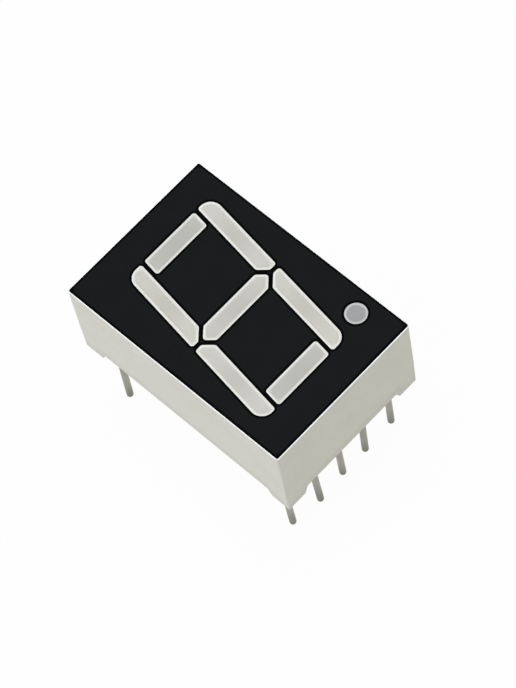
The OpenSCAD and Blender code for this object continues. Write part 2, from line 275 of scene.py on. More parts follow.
def screen_printed_ink(look):
    # Black epoxy ink, screen printed: carbon black swallows nearly all light, the surface is dull and very
    # slightly pebbled by the mesh, and the ink stands thicker and blacker along the edges of the stencil.
    material, tree = new_material("black_epoxy_ink_screen_printed")
    cloud = mottle(tree, 1.6, detail=3.0)
    body = add_node(tree, "ShaderNodeMix", {0: cloud, 6: look.thin_ink, 7: look.ink}, data_type="RGBA")
    tone = layered(tree, body.outputs[2], ("edge", look.heavy_ink))
    # Screen mesh marks, about 0.1 mm apart.
    marks = mottle(tree, 0.12, detail=1.0)
    surface(tree, tone, marks, (0.5, 0.62), 1.2, 0.6, {"IOR": 1.5, "Specular IOR Level": 0.015})
    return material


def cast_clouded_epoxy(look):
    # Clear epoxy filled with a fine diffusing powder, cast against film: milky grey, evenly lit through, with a
    # painted shade over the die where the cavity narrows and in the small cavities, a painted glow by the white
    # walls, a soft sheen and settled powder.
    material, tree = new_material("clouded_epoxy_cast")
    powder = mottle(tree, 0.7, detail=4.0)
    pale = toned(look.resin, 1.07)
    body = add_node(tree, "ShaderNodeMix", {0: powder, 6: look.resin, 7: pale}, data_type="RGBA")
    layers = ("over_die", look.painted_die_shade), ("shaded", look.shade), ("by_wall", look.glow)
    tone = layered(tree, body.outputs[2], *layers)
    specks = mottle(tree, 0.1, detail=1.0)
    surface(tree, tone, specks, (0.3, 0.42), 0.8, 0.5, {
        "IOR": 1.52, "Specular IOR Level": 0.35,
        "Subsurface Weight": 0.25, "Subsurface Scale": 0.6 * MM, "Subsurface Radius": (1.0, 0.9, 0.75),
    })
    return material


def dipped_tin(look):
    # Copper clad steel wire, drawn and dipped in tin: a soft grey metal with faint lengthwise draw lines, slow
    # swells where the tin ran, and darker towards the tip over its last 2.4 mm.
    material, tree = new_material("tin_dipped_wire")
    runs = mottle(tree, 0.5, stretch=(1, 1, 0.3), detail=3.0)
    thick = layered(tree, look.tin, ("tarnish", look.dull_tin))
    thin = layered(tree, toned(look.tin, 0.78), ("tarnish", toned(look.dull_tin, 0.78)))
    body = add_node(tree, "ShaderNodeMix", {0: runs, 6: thin, 7: thick}, data_type="RGBA")
    place = add_node(tree, "ShaderNodeTexCoord")
    height = add_node(tree, "ShaderNodeSeparateXYZ", {"Vector": place.outputs["Object"]}).outputs["Z"]
    # Over the last 2.4 mm the colour grows darker towards the tip.
    tip, fade = CAD_BOX[0][2], 2.4 * MM
    tipward = add_node(tree, "ShaderNodeMapRange", {
        "Value": height, "From Min": tip, "From Max": tip + fade, "To Min": 1.0, "To Max": 0.0,
    }).outputs[0]
    ended = add_node(tree, "ShaderNodeMix", {0: tipward, 6: body.outputs[2], 7: look.darker_tip}, data_type="RGBA")
    lines = mottle(tree, 0.06, stretch=(1, 1, 0.05))
    surface(tree, ended.outputs[2], lines, (0.34, 0.5), 1.2, 0.5, {"Metallic": 1.0})
    return material


def poured_epoxy(look):
    # Unfilled casting resin, poured and cured: creamy, slightly see-through at its surface, glossy, with slow
    # waves and flecks of trapped air about 0.55 mm apart.
    material, tree = new_material("sealing_epoxy_poured")
    depth = mottle(tree, 2.4, detail=3.0)
    deep = toned(look.resin, 0.88, 0.86, 0.8)
    body = add_node(tree, "ShaderNodeMix", {0: depth, 6: deep, 7: look.resin}, data_type="RGBA")
    place = add_node(tree, "ShaderNodeTexCoord").outputs["Object"]
    cells = add_node(tree, "ShaderNodeTexVoronoi", {"Vector": place, "Scale": 1 / (0.55 * MM)})
    fleck = add_node(tree, "ShaderNodeMapRange", {
        "Value": cells.outputs["Distance"], "From Min": 0.05, "From Max": 0.12, "To Min": 1.0, "To Max": 0.0,
    }).outputs[0]
    flecked = add_node(tree, "ShaderNodeMix", {0: fleck, 6: body.outputs[2], 7: look.air}, data_type="RGBA")
    surface(tree, flecked.outputs[2], mottle(tree, 0.9), (0.16, 0.28), 5.0, 0.6, {
        "IOR": 1.55, "Coat Weight": 0.3, "Coat Roughness": 0.08,
        "Subsurface Weight": 0.3, "Subsurface Scale": 0.8 * MM, "Subsurface Radius": (1.0, 0.8, 0.5),
    })
    return material


def glass_epoxy_board(look):
    # Woven glass in epoxy, pressed and sawn: a tan sheet with the weave just visible, its threads 0.5 mm apart.
    material, tree = new_material("glass_epoxy_laminate")
    place = add_node(tree, "ShaderNodeTexCoord").outputs["Object"]
    # At a scale of 1 a wave texture repeats every 0.314.
    threads = {"Vector": place, "Scale": 0.314 / (0.5 * MM), "Distortion": 0.6}
    warp, weft = (
        add_node(tree, "ShaderNodeTexWave", threads, bands_direction=way).outputs["Fac"] for way in ("X", "Y")
    )
    weave = add_node(tree, "ShaderNodeMath", {0: warp, 1: weft}, operation="MULTIPLY").outputs[0]
    deep = toned(look.board, 0.8)
    body = add_node(tree, "ShaderNodeMix", {0: weave, 6: deep, 7: look.board}, data_type="RGBA")
    surface(tree, body.outputs[2], weave, (0.5, 0.38), 6.0, 0.5, {"IOR": 1.52, "Specular IOR Level": 0.4})
    return material


def worked_metal(name, base, marks_mm, stretch, roughness):
    """A metal whose tone and roughness follow marks of that size: etched, drawn or reflowed."""
    material, tree = new_material(name)
    marks = mottle(tree, marks_mm, stretch, detail=3.0)
    body = add_node(tree, "ShaderNodeMix", {0: marks, 6: toned(base, 0.72), 7: base}, data_type="RGBA")
    surface(tree, body.outputs[2], marks, roughness, 1.2, 0.4, {"Metallic": 1.0})
    return material


def sawn_chip(look):
    # Gallium compound crystal, sawn from a wafer: dark, glassy, with saw lines down its sides.
    material, tree = new_material("chip_crystal_sawn")
    saw = mottle(tree, 0.05, stretch=(0.2, 0.2, 1))
    body = add_node(tree, "ShaderNodeMix", {0: saw, 6: toned(look.chip, 0.6), 7: look.chip}, data_type="RGBA")
    surface(tree, body.outputs[2], saw, (0.25, 0.4), 0.8, 0.4, {"IOR": 3.3, "Metallic": 0.2})
    return material


# --- Meshes ---


def solid_copy(node, whole=True):
    """A copy of a CAD node's solid, its loose triangles joined and, where whole, each flat face made one."""
    solid = bmesh.new()
    solid.from_mesh(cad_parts[node].data)
    bmesh.ops.remove_doubles(solid, verts=solid.verts, dist=0.0008 * MM)
    if whole:
        bmesh.ops.dissolve_limit(solid, angle_limit=math.radians(0.3), verts=solid.verts, edges=solid.edges)
    return solid


def open_loops(solid):
    """The corners along each open edge of a mesh, in order, the longest loop first."""
    ahead = {}
    for edge in solid.edges:
        if len(edge.link_faces) == 1:
            for vert in edge.verts:
                ahead.setdefault(vert, []).append(edge.other_vert(vert))
    loops, seen = [], set()
    for start in ahead:
        if start in seen:
            continue
        loop, last = [start], None
        while True:
            seen.add(loop[-1])
            step = next(v for v in ahead[loop[-1]] if v is not last)
            if step is start:
                break
            last = loop[-1]
            loop.append(step)
        loops.append(loop)
    return sorted(loops, key=lambda loop: -sum((v.co - loop[i - 1].co).length for i, v in enumerate(loop)))


def open_top(solid, top):
    """Takes the flat faces at the top off a mesh and returns the loops that they leave open."""
    upper = [f for f in solid.faces if f.normal.z > 0.9 and f.calc_center_median().z > top - 0.003 * MM]
    bmesh.ops.delete(solid, geom=upper, context="FACES")
    return open_loops(solid)


def close_top(solid, loops, loose, height):
    """Closes an open top with triangles on the loose points, each at the height that its spot is given."""
    outlines = [[v.co.xy.copy() for v in loop] for loop in loops]
    spots, faces, went = filled(outlines[0], outlines[1:], loose)
    verts = dict(zip(went, [v for loop in loops for v in loop]))
    for index, spot in enumerate(spots):
        if index not in verts:
            verts[index] = solid.verts.new((spot.x, spot.y, height(spot)))
    for face in faces:
        solid.faces.new([verts[i] for i in face])
    bmesh.ops.delete(solid, geom=[v for v in solid.verts if not v.link_faces], context="VERTS")


def finished_piece(name, solid, material, nodes, smooth_below=32):
    """Turns a mesh under work into a piece that stands for its CAD nodes."""
    bmesh.ops.recalc_face_normals(solid, faces=solid.faces)
    mesh = bpy.data.meshes.new(name)
    solid.to_mesh(mesh)
    solid.free()
    mesh.shade_smooth()
    mesh.set_sharp_from_angle(angle=math.radians(smooth_below))
    piece = bpy.data.objects.new(name, mesh)
    bpy.context.scene.collection.objects.link(piece)
    # Faces that nodes made may point at a slot of their own, so the slots start afresh.
    mesh.materials.clear()
    mesh.materials.append(material)
    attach(piece, BODY)
    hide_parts(*nodes)
    return piece


def dress(node, material):
    """Gives a CAD node a better material in its own slots."""
    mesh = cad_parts[node].data
    if not mesh.materials:
        mesh.materials.append(material)
    for index in range(len(mesh.materials)):
        mesh.materials[index] = material


def middle(node):
    """The middle of a CAD node's box."""
    low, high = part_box(node)
    return (low + high) / 2


def rounded_outline(low, high, radius, steps=8):
    """Points round a rectangle with rounded corners, anticlockwise."""
    points = []
    corners = ((high[0], low[1]), (high[0], high[1]), (low[0], high[1]), (low[0], low[1]))
    for quarter, (cx, cy) in enumerate(corners, -1):
        mx = cx - math.copysign(radius, cx - (low[0] + high[0]) / 2)
        my = cy - math.copysign(radius, cy - (low[1] + high[1]) / 2)
        for k in range(steps + 1):
            angle = math.radians(90 * quarter + 90 * k / steps)
            points.append(Vector((mx + radius * math.cos(angle), my + radius * math.sin(angle))))
    return points


def ring(centre, radius, sides):
    """Points round a circle."""
    turns = [2 * math.pi * k / sides for k in range(sides)]
    return [
        Vector((centre[0] + radius * math.cos(turn), centre[1] + radius * math.sin(turn))) for turn in turns
    ]


def along_loop(loop, step):
    """Points at about even steps along a closed outline, its corners kept."""
    points = []
    for i, here in enumerate(loop):
        there = loop[(i + 1) % len(loop)]
        parts = max(1, round((there - here).length / step))
        points += [here.lerp(there, k / parts) for k in range(parts)]
    return points


def clamped(value):
    """The value, held between 0 and 1."""
    return max(0.0, min(1.0, value))


def from_loop(spot, loop):
    """Distance from a spot to a closed outline."""
    best = 1e9
    for i, here in enumerate(loop):
        side = loop[(i + 1) % len(loop)] - here
        share = clamped((spot - here).dot(side) / side.length_squared)
        best = min(best, (spot - here - side * share).length)
    return best


def within(spot, loop):
    """True if the spot lies inside a closed outline."""
    inside = False
    for i, a in enumerate(loop):
        b = loop[i - 1]
        if (a.y > spot.y) != (b.y > spot.y) and spot.x < (b.x - a.x) * (spot.y - a.y) / (b.y - a.y) + a.x:
            inside = not inside
    return inside


def thinned(spots, gap):
    """The spots without those that crowd closer than the gap to one kept before them."""
    tree = KDTree(len(spots))
    for index, spot in enumerate(spots):
        tree.insert(spot.to_3d(), index)
    tree.balance()
    kept, crowded = [], set()
    for index, spot in enumerate(spots):
        if index not in crowded:
            kept.append(spot)
            crowded.update(other for _, other, _ in tree.find_range(spot.to_3d(), gap))
    return kept


def on_sheet(spot, border, holes):
    """True if the spot lies inside the border and outside the holes."""
    return within(spot, border) and not any(within(spot, hole) for hole in holes)


def echoes(border, holes, distances, step, gap=0.02 * MM):
    """Points that follow the border and the holes at each distance into the sheet between them."""
    outlines = [border] + holes
    kept = []
    for distance in distances:
        # A point that comes nearer than this to another outline is left to that outline's own echo.
        nearest = 0.97 * distance
        for loop in outlines:
            path = along_loop(loop, step)
            for i, here in enumerate(path):
                side = (path[(i + 1) % len(path)] - path[i - 1]).normalized()
                left, right = Vector((-side.y, side.x)), Vector((side.y, -side.x))
                for spot in (here + left * distance, here + right * distance):
                    if on_sheet(spot, border, holes) and min(from_loop(spot, o) for o in outlines) > nearest:
                        kept.append(spot)
    return thinned(kept, gap)


def filled(border, holes, loose):
    """Fills the sheet between a border and its holes with triangles that use every loose point. Returns the
    points, the faces, and where each point of the border and the holes went."""
    points, edges = [], []
    for loop in [border] + holes:
        start = len(points)
        points += loop
        edges += [(start + i, start + (i + 1) % len(loop)) for i in range(len(loop))]
    placed, _, faces, came_from, _, _ = delaunay_2d_cdt(points + loose, edges, [], 1, 1e-9)
    kept = []
    for face in faces:
        mid = sum((placed[i] for i in face), Vector((0, 0))) / len(face)
        if on_sheet(mid, border, holes):
            kept.append(face)
    went = {old: new for new, olds in enumerate(came_from) for old in olds}
    return placed, kept, [went[i] for i in range(len(points))]


def painted_foot_shade(solid, wall, layer, reach, ceiling):
    """Fills a flat upright wall anew, with points that echo its outline, and marks how much painted shade each
    point gets by its distance from the outline under the ceiling."""
    origin, out = wall.verts[0].co.copy(), wall.normal.copy()
    along = Vector((0, 0, 1)).cross(out).normalized()
    up = out.cross(along)
    rim = wall.verts[:]
    border = [Vector(((vert.co - origin).dot(along), (vert.co - origin).dot(up))) for vert in rim]
    foot = [spot for spot, vert in zip(border, rim) if vert.co.z < ceiling]
    placed, faces, went = filled(border, [], echoes(border, [], (reach / 2, reach * 3 / 4, reach), 0.5 * MM))
    known = dict(zip(went, rim))
    places = [origin + along * spot.x + up * spot.y for spot in placed]
    verts = [known.get(i) or solid.verts.new(place) for i, place in enumerate(places)]
    solid.faces.remove(wall)
    for face in faces:
        solid.faces.new([verts[i] for i in face])
    for vert, spot in zip(verts, placed):
        vert[layer] = clamped(2 - 2 * from_loop(spot, foot) / reach)


# --- Operators ---


class DISPLAY_OT_housing(bpy.types.Operator):
    """Makes the moulded white housing, with a small radius on the edges that a hand would meet"""

    bl_idname = "display.make_housing"
    bl_label = "Housing"

    def execute(self, context):
        look = context.scene.display_housing
        solid = solid_copy("reflector_housing")
        low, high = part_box("back_potting")
        corner, margin = math.radians(24), 0.06 * MM
        outer = []
        for edge in solid.edges:
            mid = (edge.verts[0].co + edge.verts[1].co) / 2
            # The room's own corners stay sharp behind the resin, and its rim is rounded.
            reach = margin if mid.z > low.z else -margin
            inside = low.x - reach < mid.x < high.x + reach and low.y - reach < mid.y < high.y + reach
            if not inside and len(edge.link_faces) == 2 and edge.calc_face_angle() > corner:
                outer.append(edge)
        bmesh.ops.bevel(
            solid, geom=outer, offset=look.edge, offset_type="OFFSET", segments=3, profile=0.5,
            affect="EDGES", clamp_overlap=True,
        )
        # A ring of corners round the walls keeps the painted highlight to their top, and another keeps the
        # painted shade to their feet. Their lower outline, raised between the feet, stays under the sill.
        low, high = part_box("reflector_housing")
        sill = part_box("back_potting")[0].z + look.edge
        rim = 1.2 * look.edge
        for height in (high.z - 2 * rim, sill + 1.2 * look.foot_shade_reach):
            every = solid.verts[:] + solid.edges[:] + solid.faces[:]
            bmesh.ops.bisect_plane(solid, geom=every, plane_co=(0, 0, height), plane_no=(0, 0, 1))
        edge_and_painted_highlight = solid.verts.layers.float.new("edge_and_painted_highlight")
        filmed = solid.verts.layers.float.new("filmed")
        scuff_and_foot_shade = solid.verts.layers.float.new("painted_foot_shade")

        def outermost(spot, slack):
            return max(low.x - spot.x, spot.x - high.x, low.y - spot.y, spot.y - high.y) > -slack

        # Painted shade on the broad outer walls, darkest at their feet.
        for wall in solid.faces[:]:
            spot = wall.calc_center_median()
            broad = abs(wall.normal.z) < 0.1 and wall.calc_area() > 5 * MM * MM
            if broad and spot.z < sill + look.foot_shade_reach and outermost(spot, 0.3 * MM):
                painted_foot_shade(solid, wall, scuff_and_foot_shade, look.foot_shade_reach, sill + 0.1 * MM)
        # The painted highlight lies along the walls' top edge, and the film on the face inside it, thickest
        # round the dot.
        face = high.z - 0.01 * MM
        dot_low, dot_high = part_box("decimal_point")
        dot, dot_rim = middle("decimal_point").xy, (dot_high.x - dot_low.x) / 2 + 0.02 * MM
        for vert in solid.verts:
            on_edge = outermost(vert.co, rim)
            vert[edge_and_painted_highlight] = float(on_edge and vert.co.z > high.z - rim)
            if vert.co.z > face and not on_edge:
                vert[filmed] = 1.0 if (vert.co.xy - dot).length < dot_rim else look.thin_film
        plastic = moulded_polycarbonate(look)
        housing = finished_piece("moulded_housing", solid, plastic, ["reflector_housing"])
        # The broad walls stay flat to the eye, and the small radii take all of the turn.
        housing.modifiers.new("flat_walls", "WEIGHTED_NORMAL").keep_sharp = True
        return {"FINISHED"}


class DISPLAY_OT_face(bpy.types.Operator):
    """Prints the black face, thicker along the edges of its stencil"""

    bl_idname = "display.make_face"
    bl_label = "Printed face"

    def execute(self, context):
        look = context.scene.display_face
        solid = solid_copy("face_ink", whole=False)
        low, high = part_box("face_ink")
        loops = open_top(solid, high.z)
        border = [v.co.xy.copy() for v in loops[0]]
        centre, half = middle("face_ink").xy, (high - low).xy / 2
        grown = Vector(((half.x + look.spread_across) / half.x, (half.y + look.spread_along) / half.y))
        dot, round_dot = middle("decimal_point").xy, 1.0 * MM
        edge_and_painted_highlight = context.scene.display_housing.edge
        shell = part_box("reflector_housing")[1].xy - Vector((edge_and_painted_highlight, edge_and_painted_highlight))
        for vert in solid.verts:
            spot = vert.co.xy
            if from_loop(spot, border) < 0.001 * MM:
                spot = centre + (spot - centre) * grown + Vector((look.register, 0))
                # Past the start of the housing's rounded edge the ink turns down with it.
                past = max(0.0, abs(spot.x - centre.x) - shell.x, abs(spot.y - centre.y) - shell.y)
                vert.co.z -= edge_and_painted_highlight - math.sqrt(edge_and_painted_highlight * edge_and_painted_highlight - min(past, edge_and_painted_highlight) ** 2)
            elif (spot - dot).length < round_dot:
                spot = dot + (spot - dot).normalized() * ((spot - dot).length - look.creep)
            vert.co.xy = spot
        # The ink's edges slope down by the shoulder, and points follow them through the thicker band.
        outlines = [[v.co.xy.copy() for v in loop] for loop in loops]
        shoulder, fade = 0.012 * MM, 0.35
        depths = [0.02 * MM] + [part * look.band for part in (fade, 0.65, 1.0, 1.3)]
        loose = echoes(outlines[0], outlines[1:], depths, 0.3 * MM)
        for loop in loops:
            for vert in loop:
                vert.co.z -= shoulder
        close_top(solid, loops, loose, lambda spot: high.z)
        heavy = solid.verts.layers.float.new("edge")
        for vert in solid.verts:
            away = min(from_loop(vert.co.xy, outline) for outline in outlines)
            vert[heavy] = clamped((1 - away / look.band) / fade)
        finished_piece("printed_face", solid, screen_printed_ink(look), ["face_ink"])
        return {"FINISHED"}


class DISPLAY_OT_lights(bpy.types.Operator):
    """Casts the clouded epoxy light in each window, with its slight dip"""

    bl_idname = "display.make_lights"
    bl_label = "Lights"

    def execute(self, context):
        look = context.scene.display_lights
        material = cast_clouded_epoxy(look)
        # The inner points' spacing and distance from the border, where the dip settles, and the spread of the
        # painted shade over the die.
        step, margin, settled, spread = 0.28 * MM, 0.36 * MM, 0.12 * MM, 1.6 * MM
        for node, chip, shade in zip(LIGHTS, DIES, LIGHT_SHADES):
            solid = solid_copy(node, whole=False)
            low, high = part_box(node)
            centre = middle(chip).xy
            loops = open_top(solid, high.z)
            border = [v.co.xy.copy() for v in loops[0]]
            loose = echoes(border, [], [depth * MM for depth in (0.04, 0.08, 0.13, 0.2, 0.28)], 0.25 * MM)
            for i in range(int((high.x - low.x) / step) + 1):
                for j in range(int((high.y - low.y) / step) + 1):
                    spot = Vector((low.x + (i + 0.5 * (j % 2)) * step, low.y + j * step))
                    if within(spot, border) and from_loop(spot, border) > margin:
                        loose.append(spot)

            def level(spot):
                return high.z - look.dip * (1 - math.exp(-from_loop(spot, border) / settled))

            close_top(solid, loops, loose, level)
            over = solid.verts.layers.float.new("over_die")
            shaded = solid.verts.layers.float.new("shaded")
            by_wall = solid.verts.layers.float.new("by_wall")
            # Painted shade over the die and in the small cavities, and a painted glow near the wall, less in a
            # shaded cavity.
            for vert in solid.verts:
                vert[shaded] = shade
                near = clamped(2 - 2 * from_loop(vert.co.xy, border) / look.glow_reach)
                vert[by_wall] = near * (1 - 0.4 * shade)
                vert[over] = math.exp(-(((vert.co.xy - centre).length / spread) ** 2))
            finished_piece(node + "_resin", solid, material, [node])
        return {"FINISHED"}


def pin_tree():
    """Geometry nodes that stand a row of pins on a set of points. Each point says how its pin leans."""
    tree = bpy.data.node_groups.new("pins_on_points", "GeometryNodeTree")
    for kind, names in (
        ("Geometry", ("Places",)), ("Float", ("Pin Radius", "Head Radius", "Below", "Seat Below", "Above")),
        ("Int", ("Rings", "Sides", "Seed")), ("Material", ("Material",)),
    ):
        for name in names:
            tree.interface.new_socket(name=name, in_out="INPUT", socket_type="NodeSocket" + kind)
    tree.interface.new_socket(name="Pins", in_out="OUTPUT", socket_type="NodeSocketGeometry")
    given = add_node(tree, "NodeGroupInput").outputs

    # Rings crowd towards the tip, so that its dome is smooth. Above the seat the shank narrows to the head.
    line = add_node(tree, "GeometryNodeCurvePrimitiveLine", {"Start": (0, 0, 0), "End": (0, 0, 1)})
    dense = add_node(tree, "GeometryNodeResampleCurve", {"Curve": line.outputs[0], "Count": given["Rings"]})
    along = add_node(tree, "GeometryNodeSplineParameter").outputs["Factor"]
    here = add_node(tree, "GeometryNodeInputPosition").outputs[0]
    level = add_node(tree, "ShaderNodeSeparateXYZ", {"Vector": here}).outputs["Z"]
    lean = add_node(tree, "GeometryNodeInputNamedAttribute", {"Name": "lean"}, data_type="FLOAT_VECTOR")
    leans = add_node(tree, "ShaderNodeSeparateXYZ", {"Vector": lean.outputs[0]}).outputs
    values = {
        "radius": given["Pin Radius"], "head": given["Head Radius"], "below": given["Below"],
        "seat": given["Seat Below"], "above": given["Above"], "along": along, "level": level,
        "lean x": leans["X"], "lean y": leans["Y"],
    }
    steps = (
        # The height of each ring.
        ("tip", "MULTIPLY", "below", -1.0), ("length", "ADD", "below", "above"),
        ("crowd", "POWER", "along", 2.0), ("reach", "MULTIPLY", "crowd", "length"),
        ("height", "ADD", "reach", "tip"),
        # The dome, as a share of the full radius: none at the tip, and all of it a radius above.
        ("from tip", "ADD", "level", "below"), ("share", "DIVIDE", "from tip", "radius"),
        ("held", "MINIMUM", "share", 1.0), ("inward", "SUBTRACT", 1.0, "held"),
        ("inward squared", "POWER", "inward", 2.0), ("left", "SUBTRACT", 1.0, "inward squared"),
        ("dome", "SQRT", "left", 0.0),
        # The shank's radius, and the ring's.
        ("over", "ADD", "level", "seat"), ("over seat", "MAXIMUM", "over", 0.0),
        ("taper", "SUBTRACT", "radius", "head"), ("run", "ADD", "above", "seat"),
        ("slope", "DIVIDE", "taper", "run"), ("lost", "MULTIPLY", "over seat", "slope"),
        ("shank", "SUBTRACT", "radius", "lost"), ("wide", "MULTIPLY", "dome", "shank"),
        # The two turns that take the tip as far aside as the point says.
        ("sine x", "DIVIDE", "lean y", "below"), ("turn x", "ARCSINE", "sine x", 0.0),
        ("sine y", "DIVIDE", "lean x", "tip"), ("turn y", "ARCSINE", "sine y", 0.0),
    )
    for name, operation, first, second in steps:
        sockets = {0: values.get(first, first), 1: values.get(second, second)}
        values[name] = add_node(tree, "ShaderNodeMath", sockets, operation=operation).outputs[0]
    spot = add_node(tree, "ShaderNodeCombineXYZ", {"Z": values["height"]})
    spaced = {"Geometry": dense.outputs[0], "Position": spot.outputs[0]}
    placed = add_node(tree, "GeometryNodeSetPosition", spaced)
    noted = {"Geometry": placed.outputs[0], "Name": "pin_radius", "Value": values["wide"]}
    radius = add_node(tree, "GeometryNodeStoreNamedAttribute", noted, data_type="FLOAT", domain="POINT")
    circle = add_node(tree, "GeometryNodeCurvePrimitiveCircle", {"Resolution": given["Sides"], "Radius": 1.0})
    wide = add_node(tree, "GeometryNodeInputNamedAttribute", {"Name": "pin_radius"}, data_type="FLOAT")
    tube = add_node(tree, "GeometryNodeCurveToMesh", {
        "Curve": radius.outputs[0], "Profile Curve": circle.outputs[0], "Scale": wide.outputs[0],
        "Fill Caps": True,
    })
    closed = add_node(tree, "GeometryNodeMergeByDistance", {"Geometry": tube.outputs[0], "Distance": 1e-7})
    # Each pin is turned at random about its axis, by up to a full turn in radians, then leans as its point says.
    turned = {2: 0.0, 3: 6.283, "Seed": given["Seed"]}
    spin = add_node(tree, "FunctionNodeRandomValue", turned, data_type="FLOAT")
    turn = add_node(tree, "ShaderNodeCombineXYZ", {"X": values["turn x"], "Y": values["turn y"]})
    leaning = add_node(tree, "FunctionNodeEulerToRotation", {"Euler": turn.outputs[0]})
    own_axis = add_node(tree, "ShaderNodeCombineXYZ", {"Z": spin.outputs[1]})
    turns = {"Rotation": leaning.outputs[0], "Rotate By": own_axis.outputs[0]}
    spun = add_node(tree, "FunctionNodeRotateRotation", turns, rotation_space="LOCAL")
    stood = add_node(tree, "GeometryNodeInstanceOnPoints", {
        "Points": given["Places"], "Instance": closed.outputs[0], "Rotation": spun.outputs[0],
    })
    real = add_node(tree, "GeometryNodeRealizeInstances", {"Geometry": stood.outputs[0]})
    plated = {"Geometry": real.outputs[0], "Material": given["Material"]}
    finish = add_node(tree, "GeometryNodeSetMaterial", plated)
    add_node(tree, "NodeGroupOutput", {0: finish.outputs[0]})
    return tree


class DISPLAY_OT_pins(bpy.types.Operator):
    """Stands the ten tinned pins in their two rows, each leaning a little its own way"""

    bl_idname = "display.make_pins"
    bl_label = "Pins"

    def execute(self, context):
        look = context.scene.display_pins
        low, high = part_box(PINS[0])
        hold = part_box("back_potting")[0].z
        radius, taper = (high.x - low.x) / 2, 0.03 * MM
        points = bpy.data.meshes.new("pin_places")
        points.from_pydata([(middle(n).x, middle(n).y, hold) for n in PINS], [], [])
        points.attributes.new("lean", "FLOAT_VECTOR", "POINT")
        points.attributes.new("tarnish", "FLOAT", "POINT")
        for index, ((right, up), tarnish) in enumerate(zip(PIN_LEANS, PIN_TARNISH)):
            points.attributes["lean"].data[index].vector = (right * MM, up * MM, 0)
            points.attributes["tarnish"].data[index].value = tarnish
        holder = bpy.data.objects.new("pin_places", points)
        context.scene.collection.objects.link(holder)
        tree, tin = pin_tree(), dipped_tin(look)
        grow = holder.modifiers.new("pins", "NODES")
        grow.node_group = tree
        values = {
            "Pin Radius": radius, "Head Radius": radius - taper,
            "Below": hold - low.z, "Seat Below": hold, "Above": high.z - hold,
            "Rings": look.rings, "Sides": look.sides, "Seed": look.seed, "Material": tin,
        }
        for item in tree.interface.items_tree:
            if item.in_out == "INPUT" and item.name in values:
                grow[item.identifier] = values[item.name]
        holder.update_tag()
        context.view_layer.update()
        grown = bpy.data.meshes.new_from_object(holder.evaluated_get(context.evaluated_depsgraph_get()))
        bpy.data.objects.remove(holder)
        solid = bmesh.new()
        solid.from_mesh(grown)
        bpy.data.meshes.remove(grown)
        if len(solid.faces) < len(PINS) * look.sides:
            raise RuntimeError("the pins weren't made")
        finished_piece("tinned_pins", solid, tin, PINS, smooth_below=60)
        return {"FINISHED"}


